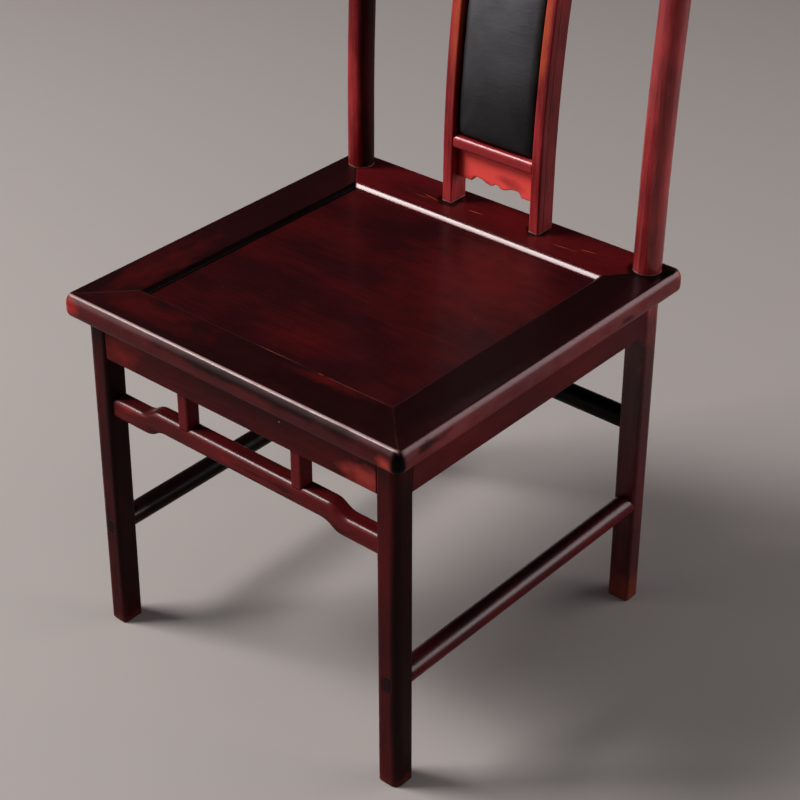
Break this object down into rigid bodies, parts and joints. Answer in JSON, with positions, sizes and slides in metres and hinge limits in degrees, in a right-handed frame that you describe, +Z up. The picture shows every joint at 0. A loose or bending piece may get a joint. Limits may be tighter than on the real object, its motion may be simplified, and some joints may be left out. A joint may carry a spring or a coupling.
{
  "type": "official hat chair",
  "caption": "Armless official hat chair: mitred seat frame with floating panel, curved back posts, yoke crest rail, and a framed splat with a padded leather panel.",
  "frame": {"origin": "middle of the bounding box at floor level, where the feet stand", "axes": "+Z up, the chair's front looks along -Y, and +X is to the right of someone who faces the front of the chair"},
  "size_m": [0.5394, 0.5192, 1.01],
  "materials": {
    "red_hardwood": "dark red stained hardwood under a semi-gloss clear lacquer, worn orange-brown at corners and feet",
    "red_panel_wood": "the same red stain on a wide, plain-grained seat panel, satin to semi-gloss",
    "board_wood": "red-stained softwood board and battens, satin",
    "black_leather": "fine-grained black leather with a soft satin sheen",
    "pad_foam": "open-cell upholstery foam, out of sight"
  },
  "bodies": {
    "root": {"seat_rail_front": "red_hardwood", "seat_rail_left": "red_hardwood", "seat_rail_right": "red_hardwood", "seat_rail_rear": "red_hardwood", "front_leg_left": "red_hardwood", "front_leg_right": "red_hardwood", "rear_post_left": "red_hardwood", "rear_post_right": "red_hardwood", "apron_front": "red_hardwood", "apron_left": "red_hardwood", "apron_right": "red_hardwood", "apron_rear": "red_hardwood", "humpback_stretcher": "red_hardwood", "strut_left": "red_hardwood", "strut_right": "red_hardwood", "side_stretcher_left": "red_hardwood", "side_stretcher_right": "red_hardwood", "rear_stretcher": "red_hardwood", "splat_stile_left": "red_hardwood", "splat_stile_right": "red_hardwood", "splat_rail_lower": "red_hardwood", "splat_rail_upper": "red_hardwood", "splat_apron": "red_hardwood", "crest_rail": "red_hardwood", "seat_panel": "red_panel_wood", "back_board": "board_wood", "seat_batten_left": "board_wood", "seat_batten_right": "board_wood", "back_pad_leather": "black_leather", "back_pad_foam": "pad_foam"}
  },
  "joints": []
}
